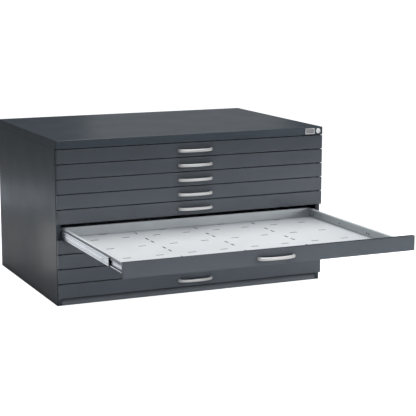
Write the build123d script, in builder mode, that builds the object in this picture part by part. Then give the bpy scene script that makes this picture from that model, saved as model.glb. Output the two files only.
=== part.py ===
from build123d import *
import os
from math import cos, radians, sin

# Flat file cabinet for A0 sheets, built from folded steel sheet. Millimetres, +Z up, the drawer
# fronts face -Y, and the origin is at the middle of the cabinet's footprint, on the floor.
# The right-hand pieces are drawn and the left-hand ones mirrored from them.

# ---------------------------------------------------------------- driving dimensions
cabinet_width = 1350.0
cabinet_depth = 960.0           # over the closed drawer fronts
cabinet_height = 760.0
sheet = 1.2                     # steel of the casing and the drawer fronts
bend = 2.5                      # outside radius of the casing's folds

cover_height = 37.5
plinth_height = 34.0

drawer_count = 10
drawer_pitch = 68.5
front_gap = 3.5
front_thickness = 20.0
open_drawer = 6
drawer_travel = 840.0
middle_travel = 630.0           # the middle slide member goes three quarters as far

tray_sheet = 1.0
tray_width = 1280.0
tray_depth = 870.0
tray_height = 42.5
rim_width = 13.0

slide_length = 895.0
slide_sheet = 1.5
slide_room = 13.0               # between the uprights and the drawer's side

# ---------------------------------------------------------------- places worked out from them
half_width = cabinet_width / 2
front_face = -cabinet_depth / 2
back_face = cabinet_depth / 2
body_front = front_face + front_thickness
cover_bottom = cabinet_height - cover_height
front_height = drawer_pitch - front_gap
slide_wall = tray_width / 2 + slide_room        # inner face of the uprights
tray_lift = 0.5                                 # tray underside above the front's lower edge
slide_lift = 20.0                               # slide centre above the front's lower edge
drawers = range(1, drawer_count + 1)


def front_bottom(number):
    """Height of the lower edge of a drawer's front; drawer 1 is the top one."""
    top = cover_bottom - front_gap - (number - 1) * drawer_pitch
    return top - front_height


def drawer_shift(number):
    """How far along Y a drawer stands from its closed place."""
    return -drawer_travel if number == open_drawer else 0.0


def middle_shift(number):
    """How far along Y a drawer's middle slide members stand from their closed place."""
    return -middle_travel if number == open_drawer else 0.0


def save(piece, name):
    """Label a finished piece and write its STEP file."""
    piece.part.label = name
    export_step(piece.part, f"parts/{name}.step")


# ---------------------------------------------------------------- casing
def make_side(name, mirrored):
    """Outer skin with front and rear returns, top and bottom flanges, and welded uprights."""
    skin_line = half_width - sheet / 2
    hem_line = slide_wall + sheet / 2
    hem_depth = 10.0
    rear_return = 20.0
    flange_start = body_front + 20.0            # the front corner is left open for the lock bar
    flange_middle = (flange_start + back_face - sheet) / 2
    upright_width = 40.0
    upright_places = (body_front + 45.0, 0.0, back_face - 80.0)
    upright_foot = 3.0
    top_round = 1.1                             # the skin's upper edge, under the cover
    with BuildPart() as side:
        with BuildSketch(Plane.XY):
            with BuildLine():
                Polyline(
                    (hem_line, body_front + hem_depth),
                    (hem_line, body_front + sheet / 2),
                    (skin_line, body_front + sheet / 2),
                    (skin_line, back_face - sheet / 2),
                    (half_width - rear_return, back_face - sheet / 2),
                )
            trace(line_width=sheet)
        extrude(amount=cover_bottom)
        outer_folds = side.edges().filter_by(Axis.Z).group_by(Axis.X)[-1]
        fillet(outer_folds, radius=bend)
        upper_edge = side.edges().filter_by(Axis.Y).group_by(Axis.Z)[-1].sort_by(Axis.X)[-1]
        fillet(upper_edge, radius=top_round)
        for height in (0.0, cover_bottom - sheet):
            with BuildSketch(Plane.XY.offset(height)):
                with Locations((half_width - sheet - rear_return / 2, flange_middle)):
                    Rectangle(rear_return, back_face - sheet - flange_start)
            extrude(amount=sheet)
        with BuildSketch(Plane.XY.offset(upright_foot)):
            for place in upright_places:
                with BuildLine():
                    Polyline(
                        (half_width - sheet, place - upright_width / 2),
                        (hem_line, place - upright_width / 2),
                        (hem_line, place + upright_width / 2),
                        (half_width - sheet, place + upright_width / 2),
                    )
                trace(line_width=sheet)
        extrude(amount=cover_bottom - 2 * upright_foot)
        if mirrored:
            mirror(about=Plane.YZ, mode=Mode.REPLACE)
    save(side, name)


def make_back():
    """Flat rear sheet held inside the side panels' rear returns."""
    margin = 2.0
    with BuildPart() as back:
        with BuildSketch(Plane.XZ.offset(-(back_face - sheet))):
            with Locations((0, cover_bottom / 2)):
                Rectangle(2 * (half_width - sheet - margin / 2), cover_bottom - 2 * (sheet + margin / 2))
        extrude(amount=sheet)
    save(back, "back_panel")


def make_cover():
    """Cap over the whole cabinet, flush with the drawer fronts, with returns at its lower edge."""
    top_bend = 2.0
    side_return = 20.0
    front_return = 18.0
    bar_room = 2.0                              # around the locking bar's head
    housing_room = 0.2
    with BuildPart() as cover:
        with BuildSketch(Plane.XY.offset(cover_bottom)):
            Rectangle(cabinet_width, cabinet_depth)
        extrude(amount=cover_height)
        fillet(cover.edges().filter_by(Axis.Z), radius=bend)
        fillet(cover.faces().sort_by(Axis.Z)[-1].edges(), radius=top_bend)
        fillet(cover.faces().sort_by(Axis.Z)[0].edges(), radius=sheet)
        with BuildSketch(Plane.XY.offset(cover_bottom + sheet)):
            Rectangle(cabinet_width - 2 * sheet, cabinet_depth - 2 * sheet)
        extrude(amount=cover_height - 2 * sheet, mode=Mode.SUBTRACT)
        with BuildSketch(Plane.XY.offset(cover_bottom)):
            with Locations((0, (front_return - side_return) / 2)):
                Rectangle(cabinet_width - 2 * side_return, cabinet_depth - side_return - front_return)
            with Locations((lock_bar_x, lock_bar_y)):
                Rectangle(lock_bar_width + 2 * bar_room, lock_bar_sheet + 2 * bar_room)
        extrude(amount=sheet, mode=Mode.SUBTRACT)
        with BuildSketch(Plane.XZ.offset(-front_face)):
            with Locations((lock_x, lock_z)):
                Circle(lock_body_radius + housing_room)
        extrude(amount=-2 * sheet, mode=Mode.SUBTRACT)
    save(cover, "top_cover")


def make_base():
    """Cabinet floor folded down into the plinth, with a stiffening channel that stands on the floor."""
    side_room = 0.6
    width = 2 * (slide_wall - side_room)
    foot = 30.0
    channel_width = 60.0
    rear = back_face - 3 * sheet
    middle = (body_front + rear) / 2
    depth = rear - body_front
    with BuildPart() as base:
        with BuildSketch(Plane.XY):
            with Locations((0, middle)):
                Rectangle(width, depth)
        extrude(amount=plinth_height)
        fillet(base.edges().filter_by(Axis.X).group_by(Axis.Y)[0].sort_by(Axis.Z)[-1], radius=bend)
        with BuildSketch(Plane.XY.offset(sheet)):
            with Locations((0, middle)):
                Rectangle(width - 2 * sheet, depth - 2 * sheet)
        extrude(amount=plinth_height - 2 * sheet, mode=Mode.SUBTRACT)
        with BuildSketch(Plane.XY):
            with Locations((0, middle)):
                Rectangle(width - 2 * foot, depth - 2 * foot)
        extrude(amount=sheet, mode=Mode.SUBTRACT)
        with BuildSketch(Plane.XZ.offset(-(rear - sheet / 2))):
            with BuildLine():
                Polyline(
                    (-channel_width / 2, plinth_height - sheet),
                    (-channel_width / 2, sheet / 2),
                    (channel_width / 2, sheet / 2),
                    (channel_width / 2, plinth_height - sheet),
                )
            trace(line_width=sheet)
        extrude(amount=depth - sheet)
    save(base, "base_panel")


# ---------------------------------------------------------------- slides
def slide_section(number, line, plane_y, length, shift):
    """A pair of slide members: one traced section, run along Y, and its mirror image."""
    with BuildPart() as pair:
        with BuildSketch(Plane.XZ.offset(-(plane_y + length + shift))):
            with BuildLine():
                Polyline(*[(slide_wall - inset, slide_centre(number) + height) for inset, height in line])
            trace(line_width=slide_sheet)
        extrude(amount=length)
        mirror(about=Plane.YZ)
    return pair


def slide_centre(number):
    """Height of the middle of a drawer's slides."""
    return front_bottom(number) + slide_lift


# Sections as (distance in from the uprights, height from the slide's centre) of the steel's middle.
outer_line = [(8.5, 19.6), (8.5, 22.1), (0.75, 22.1), (0.75, -22.1), (8.5, -22.1), (8.5, -19.6)]
middle_line = [(10.2, 14.6), (10.2, 17.4), (3.4, 17.4), (3.4, -17.4), (10.2, -17.4), (10.2, -14.6)]
slide_front = body_front + 5.0


def make_cabinet_rails():
    """Outer slide members, one pair for each drawer, fixed to the uprights."""
    pairs = [slide_section(number, outer_line, slide_front, slide_length, 0.0) for number in drawers]
    with BuildPart() as rails:
        for pair in pairs:
            add(pair.part)
    save(rails, "cabinet_rails")


def make_middle_rails(number):
    """Middle slide members, with a round locating hole near the front end."""
    hole_inset = 72.0
    hole_radius = 4.0
    pair = slide_section(number, middle_line, slide_front, slide_length, middle_shift(number))
    with BuildPart() as rails:
        add(pair.part)
        with BuildSketch(Plane.YZ.offset(-half_width)):
            with Locations((slide_front + middle_shift(number) + hole_inset, slide_centre(number))):
                Circle(hole_radius)
        extrude(amount=cabinet_width, mode=Mode.SUBTRACT)
    save(rails, f"drawer_{number}_middle_rails")


def make_drawer_rails(number):
    """Inner slide members: a channel against the tray's side, with a ledge under the tray."""
    front_room = 1.0
    extra_length = 4.0
    start = body_front + front_room
    length = slide_length + extra_length
    web = slide_room - slide_sheet / 2
    ledge = tray_lift - slide_sheet / 2 - slide_lift
    flange = 12.4
    flange_end = 5.9
    shift = drawer_shift(number)
    ledge_width = 12.0
    web_top = 15.5
    web_line = [(web + ledge_width, ledge), (web, ledge), (web, web_top)]
    upper_flange = [(web, flange), (flange_end, flange)]
    lower_flange = [(web, -flange), (flange_end, -flange)]
    with BuildPart() as rails:
        for line in (web_line, upper_flange, lower_flange):
            with BuildSketch(Plane.XZ.offset(-(start + length + shift))):
                with BuildLine():
                    Polyline(*[(slide_wall - inset, slide_centre(number) + height) for inset, height in line])
                trace(line_width=slide_sheet)
            extrude(amount=length)
        mirror(about=Plane.YZ)
    save(rails, f"drawer_{number}_rails")


# ---------------------------------------------------------------- drawers
slot_length = 36.0
slot_width = 5.0
column_pitch = 150.0
row_pitch = 206.0
first_row = 127.0               # from the tray's front wall to the first row of cross slots
side_step = 70.0                # from a row to the lengthwise slots before and behind it
side_lines = (-300.0, 0.0, 300.0)
row_count = 4
column_count = 8
fixing_places = (306.0, 326.0, 579.0, 830.0)    # rivet holes in the side walls, from the front
fixing_radius = 2.2
fixing_drop = 5.0               # below the slide's centre
rear_slots = (-450.0, -150.0, 150.0, 450.0)
rear_slot_inset = 14.0          # from the rear wall to the last cross slots


def make_tray(number):
    """Sheet-metal tray: slotted floor, rimmed side walls, taller front wall, rear wall."""
    bottom = front_bottom(number) + tray_lift
    front = body_front + drawer_shift(number)
    middle = front + tray_depth / 2
    rim_top = bottom + tray_height
    rim_hem = 5.0
    rear_rim = 12.0
    front_wall_height = front_height - 2 * sheet - tray_lift
    rows = [front + first_row + row_pitch * index for index in range(row_count)]
    with BuildPart() as tray:
        with BuildSketch(Plane.XY.offset(bottom)):
            with Locations((0, middle)):
                Rectangle(tray_width, tray_depth)
        extrude(amount=tray_height)
        with BuildSketch(Plane.XY.offset(bottom + tray_sheet)):
            with Locations((0, middle)):
                Rectangle(tray_width - 2 * tray_sheet, tray_depth - 2 * tray_sheet)
        extrude(amount=tray_height, mode=Mode.SUBTRACT)
        with BuildSketch(Plane.XY.offset(bottom)):
            with Locations((0, front + tray_sheet / 2)):
                Rectangle(tray_width, tray_sheet)
        extrude(amount=front_wall_height)
        with BuildSketch(Plane.XY.offset(rim_top - tray_sheet)):
            with Locations((0, front + tray_depth + rear_rim / 2 - tray_sheet)):
                Rectangle(tray_width, rear_rim)
        extrude(amount=tray_sheet)
        with BuildSketch(Plane.XZ.offset(-(front + tray_depth))):
            for sign in (-1, 1):
                rim_line = rim_top - tray_sheet / 2
                inner = tray_width / 2 - rim_width + tray_sheet / 2
                with BuildLine():
                    Polyline(
                        (sign * (tray_width / 2 - tray_sheet), rim_line),
                        (sign * inner, rim_line),
                        (sign * inner, rim_top - rim_hem),
                    )
                trace(line_width=tray_sheet)
        extrude(amount=tray_depth)
        with BuildSketch(Plane.XY.offset(bottom)):
            with Locations((0, (rows[0] + rows[-1]) / 2)):
                with GridLocations(column_pitch, row_pitch, column_count, row_count):
                    SlotOverall(slot_length, slot_width)
            with Locations(*[(x, front + tray_depth - rear_slot_inset) for x in rear_slots]):
                SlotOverall(slot_length, slot_width)
            lengthwise_rows = [row + step for row in rows for step in (-side_step, side_step)]
            with Locations(*[(x, y) for x in side_lines for y in lengthwise_rows]):
                SlotOverall(slot_length, slot_width, rotation=90)
        extrude(amount=tray_sheet, mode=Mode.SUBTRACT)
        with BuildSketch(Plane.YZ.offset(-tray_width / 2)):
            with Locations(*[(front + place, slide_centre(number) - fixing_drop) for place in fixing_places]):
                Circle(fixing_radius)
        extrude(amount=tray_width, mode=Mode.SUBTRACT)
    save(tray, f"drawer_{number}_tray")


def make_front(number):
    """Folded drawer front: returns on all four sides, hems at the back, a shadow gap at the ends."""
    bottom = front_bottom(number)
    face = front_face + drawer_shift(number)
    end_bend = 3.5
    end_hem = 37.0
    edge_hem = 10.0
    end_fold = sheet + 1.0                      # the double thickness at the front's ends
    end_gap = 8.0                               # the end returns stop this far short of the casing
    with BuildPart() as front:
        with BuildSketch(Plane.XZ.offset(-face)):
            with Locations((0, bottom + front_height / 2)):
                Rectangle(cabinet_width, front_height)
        extrude(amount=-front_thickness)
        fillet(front.edges().filter_by(Axis.Z).group_by(Axis.Y)[0], radius=end_bend)
        fillet(front.edges().filter_by(Axis.X).group_by(Axis.Y)[0], radius=sheet)
        with BuildSketch(Plane.XZ.offset(-(face + sheet))):
            with Locations((0, bottom + front_height / 2)):
                Rectangle(cabinet_width - 2 * end_fold, front_height - 2 * sheet)
        extrude(amount=-(front_thickness - 2 * sheet), mode=Mode.SUBTRACT)
        with BuildSketch(Plane.XZ.offset(-(face + front_thickness - sheet))):
            with Locations((0, bottom + front_height / 2)):
                Rectangle(cabinet_width - 2 * end_hem, front_height - 2 * edge_hem)
        extrude(amount=-sheet, mode=Mode.SUBTRACT)
        with BuildSketch(Plane.XZ.offset(-(face + front_thickness - end_gap))):
            with Locations((0, bottom + front_height / 2)):
                Rectangle(cabinet_width, front_height)
                Rectangle(cabinet_width - 2 * end_fold, front_height, mode=Mode.SUBTRACT)
        extrude(amount=-end_gap, mode=Mode.SUBTRACT)
    save(front, f"drawer_{number}_front")


handle_span = 174.0
handle_reach = 34.0             # from the front to the handle's outermost point
handle_bow = 17.0               # how much deeper the handle is in the middle than at its ends
handle_bar = 11.0
handle_height = 14.0
handle_drop = 2.5               # the handle's centre below the front's
handle_corner = 13.0
handle_inner_corner = 7.5


def make_handle(number):
    """Bow handle: two short arms that turn, with round corners, into a gently arched bar."""
    face = front_face + drawer_shift(number)
    centre = front_bottom(number) + front_height / 2 - handle_drop
    softness = 4.5
    clear_of_face = face - 1.0
    outer = (0.0, handle_corner, Mode.ADD)
    inner = (handle_bar, handle_inner_corner, Mode.SUBTRACT)
    with BuildPart() as handle:
        with BuildSketch(Plane.XY.offset(centre - handle_height / 2)):
            for inset, corner, mode in (outer, inner):
                end = handle_span / 2 - inset
                arm = face - handle_reach + handle_bow + inset / 2
                middle = face - handle_reach + inset
                with BuildSketch(Plane.XY, mode=mode) as outline:
                    with BuildLine():
                        Polyline((end, arm), (end, face), (-end, face), (-end, arm))
                        ThreePointArc((-end, arm), (0, middle), (end, arm))
                    make_face()
                    fillet(outline.vertices().filter_by(lambda point: point.Y < clear_of_face), radius=corner)
        extrude(amount=handle_height)
        long_edges = handle.edges().filter_by(Axis.Z, reverse=True)
        fillet(long_edges.filter_by(lambda edge: edge.center().Y < clear_of_face), radius=softness)
    save(handle, f"drawer_{number}_handle")


# ---------------------------------------------------------------- lock and badge
lock_x = half_width - 24.0
lock_z = cover_bottom + cover_height / 2
lock_body_radius = 9.0
lock_flange_radius = 12.0
lock_flange = 2.5
lock_body_end = front_face + front_thickness - 3.0
plug_radius = 6.5
plug_clearance = 0.1
cam_radius = 14.0               # from the plug's axis to the cam's pin
cam_sheet = 2.5
cam_pin_radius = 2.0
cam_rest = radians(-45)         # the cam points down and outwards when unlocked
lock_bar_width = 14.5
lock_bar_sheet = 3.0
lock_bar_x = lock_x + 11.75
lock_bar_y = body_front + 5.5
pin_x = lock_x + cam_radius * cos(cam_rest)
pin_z = lock_z + cam_radius * sin(cam_rest)


def make_lock_housing():
    """Lock cylinder body with its flange standing on the cover's front."""
    with BuildPart() as housing:
        with BuildSketch(Plane.XZ.offset(-front_face)):
            with Locations((lock_x, lock_z)):
                Circle(lock_flange_radius)
        extrude(amount=lock_flange)
        chamfer(housing.faces().sort_by(Axis.Y)[0].edges(), length=lock_flange / 2)
        with BuildSketch(Plane.XZ.offset(-front_face)):
            with Locations((lock_x, lock_z)):
                Circle(lock_body_radius)
        extrude(amount=-(lock_body_end - front_face))
        with BuildSketch(Plane.XZ.offset(-(front_face - lock_flange))):
            with Locations((lock_x, lock_z)):
                Circle(plug_radius + plug_clearance)
        extrude(amount=-(lock_body_end - front_face + lock_flange), mode=Mode.SUBTRACT)
    save(housing, "lock_housing")


def make_lock_plug():
    """Turning plug with a keyway in front and, behind, the cam and the pin that lifts the bar."""
    plug_front = front_face - lock_flange - 0.5
    cam_front = lock_body_end + 0.5
    keyway_width = 2.0
    keyway_height = 8.0
    keyway_depth = 12.0
    cam_end_radius = 3.5
    pin_length = 6.5
    cam_plane = Plane.XZ.offset(-cam_front)
    with BuildPart() as plug:
        with BuildSketch(Plane.XZ.offset(-plug_front)):
            with Locations((lock_x, lock_z)):
                Circle(plug_radius)
        extrude(amount=-(cam_front - plug_front))
        with BuildSketch(Plane.XZ.offset(-plug_front)):
            with Locations((lock_x, lock_z)):
                Rectangle(keyway_width, keyway_height)
        extrude(amount=-keyway_depth, mode=Mode.SUBTRACT)
        with BuildSketch(cam_plane):
            with BuildLine():
                Line((lock_x, lock_z), (pin_x, pin_z))
            trace(line_width=2 * cam_end_radius)
            with Locations((lock_x, lock_z)):
                Circle(plug_radius)
            with Locations((pin_x, pin_z)):
                Circle(cam_end_radius)
        extrude(amount=-cam_sheet)
        with BuildSketch(Plane.XZ.offset(-(cam_front + cam_sheet))):
            with Locations((pin_x, pin_z)):
                Circle(cam_pin_radius)
        extrude(amount=-pin_length)
    save(plug, "lock_plug")


def make_lock_bar():
    """Upright locking bar behind the right-hand flange, with one notch for each drawer."""
    bar_foot = 60.0
    bar_head = pin_z + 5.0
    slot_wide = 9.5
    slot_high = 2 * cam_pin_radius + 1.6
    slot_shift = 0.2
    notch_rise = 15.0                           # above each slide's centre
    notch_depth = 5.0
    notch_high = 12.0
    with BuildPart() as bar:
        with BuildSketch(Plane.XZ.offset(-(lock_bar_y - lock_bar_sheet / 2))):
            with Locations((lock_bar_x, (bar_foot + bar_head) / 2)):
                Rectangle(lock_bar_width, bar_head - bar_foot)
            with Locations((lock_bar_x + slot_shift, pin_z)):
                Rectangle(slot_wide, slot_high, mode=Mode.SUBTRACT)
            notch_x = lock_bar_x - lock_bar_width / 2
            with Locations(*[(notch_x, slide_centre(number) + notch_rise) for number in drawers]):
                Rectangle(2 * notch_depth, notch_high, mode=Mode.SUBTRACT)
        extrude(amount=-lock_bar_sheet)
    save(bar, "lock_bar")


def make_badge():
    """Blank plate with a raised frame, on the cover's front beside the lock."""
    width = 50.0
    height = 27.0
    plate = 2.0
    frame = 2.5
    recess = 1.0
    corner = 2.5
    inner_corner = 1.5
    centre_x = half_width - 69.5
    with BuildPart() as badge:
        with BuildSketch(Plane.XZ.offset(-front_face)):
            with Locations((centre_x, lock_z)):
                RectangleRounded(width, height, corner)
        extrude(amount=plate)
        with BuildSketch(Plane.XZ.offset(-(front_face - plate))):
            with Locations((centre_x, lock_z)):
                RectangleRounded(width - 2 * frame, height - 2 * frame, inner_corner)
        extrude(amount=-recess, mode=Mode.SUBTRACT)
    save(badge, "badge_plate")


# ---------------------------------------------------------------- the whole cabinet
os.makedirs("parts", exist_ok=True)
make_side("right_side", mirrored=False)
make_side("left_side", mirrored=True)
make_back()
make_cover()
make_base()
make_cabinet_rails()
make_lock_housing()
make_lock_plug()
make_lock_bar()
make_badge()
for drawer in drawers:
    make_tray(drawer)
    make_front(drawer)
    make_handle(drawer)
    make_drawer_rails(drawer)
    make_middle_rails(drawer)
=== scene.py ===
import math

import bmesh
import bpy
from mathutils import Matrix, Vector


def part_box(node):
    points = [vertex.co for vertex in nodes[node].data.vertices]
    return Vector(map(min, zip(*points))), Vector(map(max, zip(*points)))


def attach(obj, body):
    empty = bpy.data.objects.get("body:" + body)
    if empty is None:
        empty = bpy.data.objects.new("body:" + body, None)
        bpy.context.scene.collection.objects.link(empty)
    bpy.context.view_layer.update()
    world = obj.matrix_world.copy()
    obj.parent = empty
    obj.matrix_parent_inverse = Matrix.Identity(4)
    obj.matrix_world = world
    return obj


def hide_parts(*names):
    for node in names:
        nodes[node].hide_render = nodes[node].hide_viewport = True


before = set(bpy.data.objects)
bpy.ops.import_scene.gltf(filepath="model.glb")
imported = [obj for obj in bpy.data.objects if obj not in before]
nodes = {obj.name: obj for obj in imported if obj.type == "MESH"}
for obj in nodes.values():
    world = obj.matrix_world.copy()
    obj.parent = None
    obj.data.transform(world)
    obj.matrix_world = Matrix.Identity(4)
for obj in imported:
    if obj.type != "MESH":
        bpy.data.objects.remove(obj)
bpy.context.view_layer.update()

scene = bpy.context.scene
drawer_numbers = range(1, 11)
sides = (-1, 1)
mm = 0.001

cover_low, cover_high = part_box("top_cover")
front_y = cover_low.y
half_width = cover_high.x
lowest_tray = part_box("drawer_10_tray")[0].z
drawer_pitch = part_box("drawer_9_tray")[0].z - lowest_tray
tray_sheet = 1.0 * mm
slide_sheet = 1.5 * mm
slide_low, slide_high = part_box("drawer_10_middle_rails")
lowest_slide = (slide_low.z + slide_high.z) / 2


# ------------------------------------------------------------------ camera
def place_camera():
    """Camera at the photograph's viewing angle, from the left and above."""
    looks_down = 10.24
    looks_right = 24.05
    distance = 5.657                # in front of the fronts
    left = 2.458
    height = 1.523
    data = bpy.data.cameras.new("camera")
    data.sensor_width = 36.0
    data.lens = 115.6
    data.clip_end = 200.0
    camera = bpy.data.objects.new("camera", data)
    scene.collection.objects.link(camera)
    camera.location = (-left, front_y - distance, height)
    camera.rotation_euler = (math.radians(90.0 - looks_down), 0.0, math.radians(-looks_right))
    scene.camera = camera


# ------------------------------------------------------------------ materials
noise_low = 0.3
noise_high = 0.7


class Material:
    """A node material with a Principled shader and short helpers for its nodes."""

    def __init__(self, name):
        self.data = bpy.data.materials.new(name)
        self.data.use_nodes = True
        self.tree = self.data.node_tree
        self.shader = self.tree.nodes["Principled BSDF"]
        self.place = self.add("ShaderNodeTexCoord").outputs["Object"]

    def add(self, kind, **settings):
        node = self.tree.nodes.new(kind)
        for key, value in settings.items():
            setattr(node, key, value)
        return node

    def link(self, output, socket):
        self.tree.links.new(output, socket)

    def set(self, **values):
        for key, value in values.items():
            self.shader.inputs[key.replace("_", " ")].default_value = value

    def stretched(self, scale):
        """The object's own coordinates, stretched by a scale along each axis."""
        mapping = self.add("ShaderNodeMapping")
        mapping.inputs["Scale"].default_value = scale
        self.link(self.place, mapping.inputs["Vector"])
        return mapping.outputs["Vector"]

    def noise(self, scale, detail=2.0, place=None):
        node = self.add("ShaderNodeTexNoise")
        node.inputs["Scale"].default_value = scale
        node.inputs["Detail"].default_value = detail
        self.link(place or self.place, node.inputs["Vector"])
        return node.outputs["Fac"]

    def ramp(self, value, low, high):
        """A colour ramp between two colours, over the range that most noise keeps to."""
        node = self.add("ShaderNodeValToRGB")
        node.color_ramp.elements[0].position = noise_low
        node.color_ramp.elements[1].position = noise_high
        node.color_ramp.elements[0].color = (*low, 1.0)
        node.color_ramp.elements[1].color = (*high, 1.0)
        self.link(value, node.inputs["Fac"])
        return node.outputs["Color"]

    def map(self, value, low, high, start=noise_low, end=noise_high):
        node = self.add("ShaderNodeMapRange")
        node.inputs["From Min"].default_value = start
        node.inputs["From Max"].default_value = end
        node.inputs["To Min"].default_value = low
        node.inputs["To Max"].default_value = high
        self.link(value, node.inputs["Value"])
        return node.outputs["Result"]

    def math(self, operation, first, second=None):
        node = self.add("ShaderNodeMath", operation=operation)
        for socket, value in zip(node.inputs, (first, second)):
            if isinstance(value, float):
                socket.default_value = value
            elif value is not None:
                self.link(value, socket)
        return node.outputs["Value"]

    def height(self):
        """How high a point is above the floor while its body is at rest."""
        parts = self.add("ShaderNodeSeparateXYZ")
        self.link(self.place, parts.inputs["Vector"])
        return parts.outputs["Z"]

    def openness(self, reach):
        """1 in the open, and less where other surfaces stand within the reach."""
        node = self.add("ShaderNodeAmbientOcclusion")
        node.inputs["Distance"].default_value = reach
        node.samples = 8
        return node.outputs["AO"]

    def blend(self, amount, color, other):
        """The colour, turned by the amount into another, plain one."""
        mix = self.add("ShaderNodeMix", data_type="RGBA")
        self.link(amount, mix.inputs["Factor"])
        self.link(color, mix.inputs["A"])
        mix.inputs["B"].default_value = (*other, 1.0)
        return mix.outputs["Result"]

    def shade(self, color, reach, depth):
        """The colour, with painted shade in the gaps and corners narrower than the reach."""
        shut = 0.3
        clear = 0.97
        return self.darken(color, self.map(self.openness(reach), 1.0 - depth, 1.0, shut, clear))

    def darken(self, color, darkness):
        """The colour times the darkness of painted shade, which also takes away from the gloss."""
        mix = self.add("ShaderNodeMix", data_type="RGBA", blend_type="MULTIPLY")
        mix.inputs["Factor"].default_value = 1.0
        self.link(color, mix.inputs["A"])
        self.link(darkness, mix.inputs["B"])
        gloss = self.math("MULTIPLY", darkness, self.shader.inputs["Specular IOR Level"].default_value)
        self.link(gloss, self.shader.inputs["Specular IOR Level"])
        return mix.outputs["Result"]

    def bump(self, height, distance, under=None):
        node = self.add("ShaderNodeBump")
        node.inputs["Distance"].default_value = distance
        self.link(height, node.inputs["Height"])
        if under is not None:
            self.link(under, node.inputs["Normal"])
        return node.outputs["Normal"]

    def finish(self, color=None, roughness=None, normal=None):
        if color is not None:
            self.link(color, self.shader.inputs["Base Color"])
        if roughness is not None:
            self.link(roughness, self.shader.inputs["Roughness"])
        if normal is not None:
            self.link(normal, self.shader.inputs["Normal"])
        return self.data


mottling_scale = 6.0                # noise scales are in waves per metre
grain_scale = 1400.0
peel_scale = 260.0
grain_height = 0.03 * mm
peel_height = 0.06 * mm
paint_gloss = 0.4


def powder_coat(name, dark, light, smooth, dull):
    """Stoved powder coat: faint colour mottling, orange peel and fine grain, with painted shade in narrow
    gaps.
    """
    gap_reach = 35.0 * mm
    gap_shade_depth = 0.95
    m = Material(name)
    mottling = m.noise(mottling_scale, detail=4.0)
    normal = m.bump(m.noise(peel_scale), peel_height)
    normal = m.bump(m.noise(grain_scale), grain_height, under=normal)
    m.set(Specular_IOR_Level=paint_gloss)
    # painted shade: colour and gloss darken in gaps and corners within the reach
    color = m.shade(m.ramp(mottling, dark, light), gap_reach, gap_shade_depth)
    return m.finish(color, m.map(mottling, smooth, dull), normal)


def plinth_coat(name, dark, light):
    """The same powder coat in a lighter copy of its colour, which is painted light, with a painted shadow
    of the lowest front towards the top.
    """
    lit_below = 14.0 * mm
    dark_above = 34.0 * mm
    left_in_shadow = 0.08
    smooth = 0.20
    dull = 0.26
    m = Material(name)
    mottling = m.noise(mottling_scale, detail=4.0)
    m.set(Specular_IOR_Level=paint_gloss)
    shadow = m.map(m.height(), 1.0, left_in_shadow, lit_below, dark_above)
    color = m.darken(m.ramp(mottling, dark, light), shadow)
    return m.finish(color, m.map(mottling, smooth, dull), m.bump(m.noise(peel_scale), peel_height))


def tray_coat(name, dark, light, slot_shade_color, corner_shade_color):
    """Pale powder coat, with painted shade at the floor's slots, near black on the slot walls and in a
    ring round each slot's edge, and dark blue painted shade in the corners.
    """
    rim_width = 5.0 * mm
    rim_start = 0.90                # how well the bevelled and the flat normal agree, from the painted shade ring to the floor
    rim_end = 0.999
    below_face = 0.98               # of the sheet's thickness
    above_face = 1.05
    corner_reach = 140.0 * mm
    corner_shut = 0.25
    corner_clear = 0.95
    most_corner_shade = 0.30
    smooth = 0.38
    dull = 0.46
    m = Material(name)
    mottling = m.noise(mottling_scale, detail=4.0)
    level = m.math("SUBTRACT", m.height(), lowest_tray)
    level = m.math("FRACT", m.math("DIVIDE", level, drawer_pitch))
    in_floor = m.math("LESS_THAN", level, tray_sheet * below_face / drawer_pitch)
    on_floor = m.math("LESS_THAN", level, tray_sheet * above_face / drawer_pitch)
    flat_normal = m.add("ShaderNodeNewGeometry").outputs["True Normal"]
    normal_parts = m.add("ShaderNodeSeparateXYZ")
    m.link(flat_normal, normal_parts.inputs["Vector"])
    upright = m.math("LESS_THAN", m.math("ABSOLUTE", normal_parts.outputs["Z"]), 0.5)
    rolled = m.add("ShaderNodeBevel", samples=8)
    rolled.inputs["Radius"].default_value = rim_width
    agreement = m.add("ShaderNodeVectorMath", operation="DOT_PRODUCT")
    m.link(rolled.outputs["Normal"], agreement.inputs[0])
    m.link(flat_normal, agreement.inputs[1])
    slot_rim_shade = m.map(agreement.outputs["Value"], 1.0, 0.0, rim_start, rim_end)
    # painted shade: the slot walls and a ring round each slot's edge take a near-black colour
    slot_wall_shade = m.math("MULTIPLY", in_floor, upright)
    slot_shade = m.math("MAXIMUM", slot_wall_shade, m.math("MULTIPLY", slot_rim_shade, on_floor))
    color = m.blend(slot_shade, m.ramp(mottling, dark, light), slot_shade_color)
    # painted shade: the colour turns dark blue in the corners and at the rear, where surfaces stand within
    # the corner reach
    corner_shade = m.map(m.openness(corner_reach), most_corner_shade, 0.0, corner_shut, corner_clear)
    color = m.blend(corner_shade, color, corner_shade_color)
    return m.finish(color, m.map(mottling, smooth, dull), m.bump(m.noise(grain_scale), grain_height))


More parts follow.
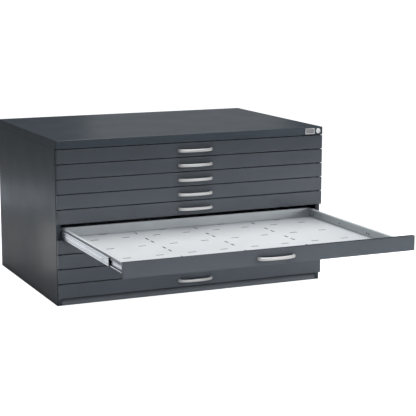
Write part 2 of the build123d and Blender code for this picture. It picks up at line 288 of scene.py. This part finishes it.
def zinc_plate(name, dark, light, grooves=()):
    """Rolled steel with bright zinc: fine lines along the slide, faint clouds, and painted shade in dark
    lines along the rolled grooves.
    """
    groove_shade_color = (0.05, 0.06, 0.08)
    line_height = 0.04 * mm
    smooth = 0.22
    dull = 0.36
    m = Material(name)
    lines = m.noise(1.0, detail=3.0, place=m.stretched((900.0, 5.0, 900.0)))
    clouds = m.noise(22.0, detail=3.0)
    color = m.ramp(clouds, dark, light)
    level = m.math("SUBTRACT", m.height(), lowest_slide - drawer_pitch / 2)
    level = m.math("SUBTRACT", m.math("FRACT", m.math("DIVIDE", level, drawer_pitch)), 0.5)
    offset = m.math("MULTIPLY", m.math("ABSOLUTE", level), drawer_pitch)
    # painted shade: dark lines where the slide's rolled grooves lie
    for distance, half_groove in grooves:
        apart = m.math("ABSOLUTE", m.math("SUBTRACT", offset, distance))
        color = m.blend(m.math("LESS_THAN", apart, half_groove), color, groove_shade_color)
    m.set(Metallic=1.0)
    return m.finish(color, m.map(lines, smooth, dull), m.bump(lines, line_height))


def satin_metal(name, dark, light, smooth, dull):
    """Satin metal with short brushing along X."""
    brush_height = 0.02 * mm
    m = Material(name)
    brushing = m.noise(1.0, detail=3.0, place=m.stretched((40.0, 2500.0, 2500.0)))
    m.set(Metallic=1.0)
    roughness = m.map(brushing, smooth, dull)
    return m.finish(m.ramp(brushing, dark, light), roughness, m.bump(brushing, brush_height))


def silver_lacquer(name, dark, light):
    """Silvery surface, half metal, with fine flake and a soft gloss."""
    smooth = 0.34
    dull = 0.42
    flake_height = 0.01 * mm
    m = Material(name)
    flake = m.noise(2200.0, detail=1.0)
    clouds = m.noise(35.0, detail=3.0)
    m.set(Metallic=0.6)
    return m.finish(m.ramp(flake, dark, light), m.map(clouds, smooth, dull), m.bump(flake, flake_height))


def moulded_plastic(name, dark, light):
    """Dull plastic, card or blackened steel with a fine grain."""
    smooth = 0.38
    dull = 0.55
    moulding_height = 0.08 * mm
    m = Material(name)
    grain = m.noise(900.0, detail=3.0)
    return m.finish(m.ramp(grain, dark, light), m.map(grain, smooth, dull), m.bump(grain, moulding_height))


# The casing, fronts and plinth wear one anthracite powder coat. Their three colours are lit and shaded
# copies of it, which is painted light: the fronts' copy is lighter than the casing's, and the plinth's is
# lighter still.
casing_paint = powder_coat("casing_paint", (0.032, 0.041, 0.051), (0.036, 0.045, 0.056), 0.28, 0.34)
front_paint = powder_coat("front_paint", (0.046, 0.053, 0.062), (0.050, 0.057, 0.067), 0.11, 0.16)
plinth_paint = plinth_coat("plinth_paint", (0.066, 0.074, 0.084), (0.071, 0.079, 0.090))
# near black: painted shade for the walls and edges of the tray floor's slots
slot_shade_dark = (0.012, 0.012, 0.012)
# dark blue painted shade for the tray's corners and rear
corner_shade_blue = (0.10, 0.16, 0.21)
tray_paint = tray_coat("tray_paint", (0.67, 0.69, 0.70), (0.70, 0.72, 0.73), slot_shade_dark, corner_shade_blue)
# where the slide's grooves lie, for their painted shade lines
slide_groove_shades = ((4.5 * mm, 0.7 * mm), (11.5 * mm, 1.1 * mm))    # distance from the centre, half width
slide_zinc = zinc_plate("slide_zinc", (0.76, 0.80, 0.86), (0.84, 0.87, 0.92), slide_groove_shades)
handle_silver = silver_lacquer("handle_silver", (0.54, 0.53, 0.53), (0.62, 0.61, 0.61))
lock_nickel = silver_lacquer("lock_nickel", (0.86, 0.86, 0.88), (0.92, 0.92, 0.94))
badge_silver = silver_lacquer("badge_silver", (0.78, 0.78, 0.79), (0.86, 0.86, 0.87))
bar_steel = zinc_plate("bar_steel", (0.60, 0.61, 0.63), (0.68, 0.69, 0.71))
black_plastic = moulded_plastic("black_plastic", (0.010, 0.010, 0.011), (0.016, 0.016, 0.017))
black_steel = moulded_plastic("black_steel", (0.018, 0.018, 0.020), (0.026, 0.026, 0.028))
screw_zinc = satin_metal("screw_zinc", (0.50, 0.52, 0.55), (0.60, 0.62, 0.65), 0.24, 0.34)
badge_card = moulded_plastic("badge_card", (0.16, 0.16, 0.165), (0.20, 0.20, 0.205))


def paint(name, material):
    """Gives one CAD node its material."""
    data = nodes[name].data
    data.materials.clear()
    data.materials.append(material)


def paint_cad():
    for name in ("left_side", "right_side", "back_panel", "top_cover"):
        paint(name, casing_paint)
    paint("base_panel", plinth_paint)
    paint("cabinet_rails", slide_zinc)
    paint("lock_housing", lock_nickel)
    paint("lock_plug", lock_nickel)
    paint("lock_bar", bar_steel)
    paint("badge_plate", badge_silver)
    for number in drawer_numbers:
        paint(f"drawer_{number}_front", front_paint)
        paint(f"drawer_{number}_tray", tray_paint)
        paint(f"drawer_{number}_rails", slide_zinc)
        paint(f"drawer_{number}_middle_rails", slide_zinc)
        paint(f"drawer_{number}_handle", handle_silver)


# ------------------------------------------------------------------ pieces
def make_piece(name, mesh_data, material, body, crease=35.0):
    """Turns built mesh data into a smooth-shaded piece that rides on a body."""
    mesh = bpy.data.meshes.new(name)
    bmesh.ops.recalc_face_normals(mesh_data, faces=mesh_data.faces)
    mesh_data.to_mesh(mesh)
    mesh_data.free()
    mesh.shade_smooth()
    mesh.set_sharp_from_angle(angle=math.radians(crease))
    mesh.materials.append(material)
    piece = bpy.data.objects.new(name, mesh)
    scene.collection.objects.link(piece)
    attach(piece, body)
    return piece


def join_rings(mesh_data, rings):
    """Skins a row of equal rings of vertices, and caps the first and the last."""
    count = len(rings[0])
    for low, high in zip(rings, rings[1:]):
        for step in range(count):
            following = (step + 1) % count
            mesh_data.faces.new((low[step], low[following], high[following], high[step]))
    mesh_data.faces.new(rings[0])
    mesh_data.faces.new(rings[-1])


def add_turned(mesh_data, centre, axis, profile):
    """Adds a turned shape whose profile is (distance along the axis, radius)."""
    steps = 24
    along = Vector(axis).normalized()
    across = along.orthogonal().normalized()
    beside = along.cross(across)
    rings = []
    for distance, radius in profile:
        ring = []
        for step in range(steps):
            angle = 2.0 * math.pi * step / steps
            spoke = across * math.cos(angle) + beside * math.sin(angle)
            ring.append(mesh_data.verts.new(Vector(centre) + along * distance + spoke * radius))
        rings.append(ring)
    join_rings(mesh_data, rings)


def add_screw_head(mesh_data, centre, axis, radius, height):
    """Adds a button head with a round recess for the driver."""
    profile = (
        (0.0, radius),
        (0.35 * height, radius),
        (0.75 * height, 0.88 * radius),
        (height, 0.62 * radius),
        (height, 0.40 * radius),
        (0.45 * height, 0.34 * radius),
    )
    add_turned(mesh_data, centre, axis, profile)


def add_extruded(mesh_data, outline, start_y, end_y):
    """Adds an outline of (x, z) points run along Y."""
    rings = []
    for y in (start_y, end_y):
        rings.append([mesh_data.verts.new((x, y, z)) for x, z in outline])
    join_rings(mesh_data, rings)


def superellipse(angle, half_a, half_b, power):
    """A point of a superellipse, rounder at its corners the nearer its power is to 2."""
    cosine = math.cos(angle)
    sine = math.sin(angle)
    a = half_a * math.copysign(abs(cosine) ** (2.0 / power), cosine)
    b = half_b * math.copysign(abs(sine) ** (2.0 / power), sine)
    return a, b


def make_handle(number):
    """Cast bow handle: a crowned section swept from foot to foot, a little fuller at the feet."""
    node = f"drawer_{number}_handle"
    low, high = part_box(node)
    face = high.y
    bar = 11.0 * mm
    bar_height = high.z - low.z
    half_span = (high.x - low.x - bar) / 2
    reach = high.y - low.y - bar / 2
    middle = (low + high) / 2
    bow_power = 2.3
    section_power = 2.5
    foot_flare = 0.10
    path_steps = 72
    section_steps = 28
    path = []
    for step in range(path_steps + 1):
        across, out = superellipse(math.pi * step / path_steps, half_span, reach, bow_power)
        path.append(Vector((middle.x + across, face - abs(out), middle.z)))
    mesh_data = bmesh.new()
    rings = []
    for step, point in enumerate(path):
        before = path[max(step - 1, 0)]
        after = path[min(step + 1, path_steps)]
        along = (after - before).normalized()
        if step in (0, path_steps):
            along = Vector((0.0, math.copysign(1.0, along.y), 0.0))
        outward = Vector((-along.y, along.x, 0.0))
        flare = 1.0 + foot_flare * (1.0 - (face - point.y) / reach) ** 3
        ring = []
        for turn in range(section_steps):
            angle = 2.0 * math.pi * turn / section_steps
            radial, upward = superellipse(angle, bar / 2, bar_height / 2, section_power)
            offset = outward * (radial * flare) + Vector((0.0, 0.0, upward * flare))
            ring.append(mesh_data.verts.new(point + offset))
        rings.append(ring)
    join_rings(mesh_data, rings)
    name = f"drawer_{number}_bow_handle"
    piece = make_piece(name, mesh_data, handle_silver, f"drawer_{number}", crease=60.0)
    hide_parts(node)


fixing_places = (306.0 * mm, 326.0 * mm, 579.0 * mm, 830.0 * mm)    # from the tray's front
fixing_drop = 5.0 * mm                                             # below the slide's centre


def make_tray_rivets(number):
    """Dark button heads inside the tray's side walls, where the slides are fixed."""
    low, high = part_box(f"drawer_{number}_tray")
    rail_low, rail_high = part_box(f"drawer_{number}_middle_rails")
    height = (rail_low.z + rail_high.z) / 2 - fixing_drop
    rivet_radius = 3.6 * mm
    rivet_height = 1.6 * mm
    mesh_data = bmesh.new()
    for side in sides:
        wall = side * (high.x - tray_sheet)
        for place in fixing_places:
            point = (wall, low.y + place, height)
            add_screw_head(mesh_data, point, (-side, 0, 0), rivet_radius, rivet_height)
    make_piece(f"drawer_{number}_rivets", mesh_data, black_steel, f"drawer_{number}")


def make_rail_screws(number):
    """Screw heads in the drawer's slide members, and the bent tab that ties each one to the front."""
    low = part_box(f"drawer_{number}_rails")[0]
    tray_low, tray_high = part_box(f"drawer_{number}_tray")
    rail_low, rail_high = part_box(f"drawer_{number}_middle_rails")
    centre = (rail_low.z + rail_high.z) / 2
    web_face = tray_high.x + slide_sheet
    tab_height = 8.5 * mm
    tab_length = 14.0 * mm
    tab_sheet = slide_sheet
    head_radius = 4.2 * mm
    rail_head_height = 1.3 * mm
    tab_head_height = 1.6 * mm
    mesh_data = bmesh.new()
    for side in sides:
        face = side * web_face
        for place in fixing_places:
            point = (face, tray_low.y + place, centre - fixing_drop)
            add_screw_head(mesh_data, point, (side, 0, 0), head_radius, rail_head_height)
        outer = side * (web_face + tab_sheet)
        outline = [(face, centre - tab_height), (outer, centre - tab_height)]
        outline += [(outer, centre + tab_height), (face, centre + tab_height)]
        add_extruded(mesh_data, outline, low.y, low.y + tab_length)
        point = (outer, low.y + tab_length / 2, centre)
        add_screw_head(mesh_data, point, (side, 0, 0), head_radius, tab_head_height)
    make_piece(f"drawer_{number}_rail_screws", mesh_data, screw_zinc, f"drawer_{number}")


def make_handle_screws(number):
    """Pan heads of the handle's screws, inside the tray's front wall."""
    low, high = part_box(f"drawer_{number}_handle")
    tray_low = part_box(f"drawer_{number}_tray")[0]
    foot = 5.5 * mm
    head_radius = 4.5 * mm
    head_height = 2.2 * mm
    mesh_data = bmesh.new()
    for x in (low.x + foot, high.x - foot):
        point = (x, tray_low.y + tray_sheet, (low.z + high.z) / 2)
        add_screw_head(mesh_data, point, (0, 1, 0), head_radius, head_height)
    name = f"drawer_{number}_handle_screws"
    make_piece(name, mesh_data, screw_zinc, f"drawer_{number}")


def make_middle_ends(number):
    """Black plastic ends that keep the balls in the middle slide members."""
    low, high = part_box(f"drawer_{number}_middle_rails")
    centre = (low.z + high.z) / 2
    root = high.x
    wall = 2.3 * mm
    lips = 8.6 * mm
    inside = 13.7 * mm
    outside = 18.1 * mm
    nose = 4.0 * mm
    grip = 3.0 * mm
    mesh_data = bmesh.new()
    for side in sides:
        web = side * root
        clear = side * (root - wall)
        lip = side * (root - lips)
        outline = [
            (web, centre - outside),
            (lip, centre - outside),
            (lip, centre - inside),
            (clear, centre - inside),
            (clear, centre + inside),
            (lip, centre + inside),
            (lip, centre + outside),
            (web, centre + outside),
        ]
        add_extruded(mesh_data, outline, low.y - nose, low.y)
        for sign in sides:
            finger = centre + sign * (inside + outside) / 2
            points = [(clear, finger - grip / 2), (lip, finger - grip / 2)]
            points += [(lip, finger + grip / 2), (clear, finger + grip / 2)]
            add_extruded(mesh_data, points, low.y, low.y + 3 * grip)
    body = f"drawer_{number}_middle_slides"
    make_piece(f"drawer_{number}_middle_ends", mesh_data, black_plastic, body)


def make_back_rivets():
    """Domed rivets through the side panels' rear returns and the back panel."""
    rivet_count = 7
    inset = 10.0 * mm
    margin = 45.0 * mm
    low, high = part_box("left_side")
    step = (high.z - low.z - 2 * margin) / (rivet_count - 1)
    dome = ((0.0, 3.6 * mm), (0.5 * mm, 3.4 * mm), (1.1 * mm, 2.4 * mm), (1.4 * mm, 0.9 * mm))
    mesh_data = bmesh.new()
    for side in sides:
        for index in range(rivet_count):
            point = (side * (half_width - inset), high.y, low.z + margin + index * step)
            add_turned(mesh_data, point, (0, 1, 0), dome)
    make_piece("back_rivets", mesh_data, casing_paint, "cabinet")


def make_badge_insert():
    """Blank card behind the badge's raised frame."""
    low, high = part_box("badge_plate")
    frame_width = 2.7 * mm
    depth = 0.7 * mm
    centre = (low + high) / 2
    half_a = (high.x - low.x) / 2 - frame_width
    half_b = (high.z - low.z) / 2 - frame_width
    corner_power = 9.0
    points = 48
    outline = []
    for index in range(points):
        across, upward = superellipse(2.0 * math.pi * index / points, half_a, half_b, corner_power)
        outline.append((centre.x + across, centre.z + upward))
    mesh_data = bmesh.new()
    add_extruded(mesh_data, outline, centre.y - depth, centre.y)
    make_piece("badge_card", mesh_data, badge_card, "cabinet")


def make_pieces():
    for number in drawer_numbers:
        make_handle(number)
        make_tray_rivets(number)
        make_rail_screws(number)
        make_handle_screws(number)
        make_middle_ends(number)
    make_back_rivets()
    make_badge_insert()


# ------------------------------------------------------------------ stage
def make_floor():
    """Pale floor, which the camera sees a little brighter than the light it gives back."""
    m = Material("floor")
    dark = (0.48, 0.48, 0.48)
    light = (0.52, 0.52, 0.52)
    smooth = 0.8
    dull = 0.9
    tone = m.noise(0.4)
    m.set(Specular_IOR_Level=0.0)
    m.finish(m.ramp(tone, dark, light), m.map(tone, smooth, dull))
    glow = m.add("ShaderNodeEmission")
    glow.inputs["Strength"].default_value = 0.95
    total = m.add("ShaderNodeAddShader")
    m.link(m.shader.outputs["BSDF"], total.inputs[0])
    m.link(glow.outputs["Emission"], total.inputs[1])
    seen = m.add("ShaderNodeMixShader")
    m.link(m.add("ShaderNodeLightPath").outputs["Is Camera Ray"], seen.inputs["Fac"])
    m.link(m.shader.outputs["BSDF"], seen.inputs[1])
    m.link(total.outputs["Shader"], seen.inputs[2])
    m.link(seen.outputs["Shader"], m.tree.nodes["Material Output"].inputs["Surface"])
    size = 60.0
    mesh = bpy.data.meshes.new("floor")
    corners = [(-size, -size, 0.0), (size, -size, 0.0), (size, size, 0.0), (-size, size, 0.0)]
    mesh.from_pydata(corners, [], [(0, 1, 2, 3)])
    mesh.materials.append(m.data)
    floor = bpy.data.objects.new("floor", mesh)
    scene.collection.objects.link(floor)


white = (1.0, 1.0, 1.0)
side_tint = (0.84, 1.0, 1.18)


def soft_box(name, place, target, size, power, spread=180.0, mirrored=True, tint=white):
    """A rectangular lamp facing a target, hidden from the camera and, if asked, from reflections."""
    data = bpy.data.lights.new(name, "AREA")
    data.shape = "RECTANGLE"
    data.size = size[0]
    data.size_y = size[1]
    data.energy = power
    data.color = tint
    data.spread = math.radians(spread)
    lamp = bpy.data.objects.new(name, data)
    scene.collection.objects.link(lamp)
    lamp.location = place
    lamp.rotation_euler = (Vector(target) - Vector(place)).to_track_quat("-Z", "Y").to_euler()
    lamp.visible_camera = False
    lamp.visible_glossy = mirrored


def light_studio():
    """A white backdrop for the camera, a dim room for the light, and soft boxes round the cabinet."""
    room_low = 0.038
    room_high = 0.34
    room_tint = (0.93, 0.99, 1.05, 1.0)
    world = bpy.data.worlds.new("studio")
    scene.world = world
    world.use_nodes = True
    tree = world.node_tree
    direction = tree.nodes.new("ShaderNodeTexCoord")
    parts = tree.nodes.new("ShaderNodeSeparateXYZ")
    tree.links.new(direction.outputs["Generated"], parts.inputs["Vector"])
    lift = tree.nodes.new("ShaderNodeMapRange")
    lift.interpolation_type = "SMOOTHSTEP"
    lift.inputs["From Min"].default_value = 0.05
    lift.inputs["From Max"].default_value = 0.95
    lift.inputs["To Min"].default_value = room_low
    lift.inputs["To Max"].default_value = room_high
    tree.links.new(parts.outputs["Z"], lift.inputs["Value"])
    room = tree.nodes["Background"]
    room.inputs["Color"].default_value = room_tint
    tree.links.new(lift.outputs["Result"], room.inputs["Strength"])
    backdrop = tree.nodes.new("ShaderNodeBackground")
    backdrop.inputs["Strength"].default_value = 1.0
    seen = tree.nodes.new("ShaderNodeMixShader")
    path = tree.nodes.new("ShaderNodeLightPath")
    tree.links.new(path.outputs["Is Camera Ray"], seen.inputs["Fac"])
    tree.links.new(room.outputs["Background"], seen.inputs[1])
    tree.links.new(backdrop.outputs["Background"], seen.inputs[2])
    tree.links.new(seen.outputs["Shader"], tree.nodes["World Output"].inputs["Surface"])
    soft_box("overhead", (0.2, -2.0, 3.6), (0.0, -0.8, 0.0), size=(3.6, 2.6), power=76.0)
    soft_box("top", (0.1, 0.3, 3.2), (0.0, 0.1, 0.7), size=(2.2, 1.4), power=55.0)
    place = (3.6, -3.6, 1.0)
    soft_box("right", place, (0.5, -0.6, 0.4), size=(1.6, 1.4), power=118.0, mirrored=False)
    place = (-0.3, -4.0, 0.25)
    target = (-0.2, -0.5, 0.18)
    soft_box("low_front", place, target, size=(4.0, 0.4), power=9.0, spread=20.0, mirrored=False)
    place = (1.0, -3.3, 0.02)
    soft_box("front_card", place, (1.0, -3.3, 1.0), size=(3.4, 2.6), power=14.0, mirrored=False)
    place = (-1.15, 0.75, 0.24)
    soft_box("side_low", place, (-0.675, 0.5, 0.3), size=(2.3, 0.12), power=0.36, tint=side_tint)
    place = (-1.15, 0.15, 0.13)
    soft_box("slide_card", place, (-0.65, -0.95, 0.33), size=(0.6, 0.26), power=0.012, spread=30.0)
    soft_box("rear_panel", (1.7, 3.6, 1.45), (0.0, 0.0, 0.76), size=(1.6, 0.7), power=1.0)
    place = (0.3, 4.0, 0.6)
    soft_box("rear_fill", place, (0.0, 0.5, 0.35), size=(2.5, 1.0), power=30.0, mirrored=False)
    scene.view_settings.view_transform = "Standard"
    scene.view_settings.look = "None"


place_camera()
paint_cad()
make_pieces()
make_floor()
light_studio()
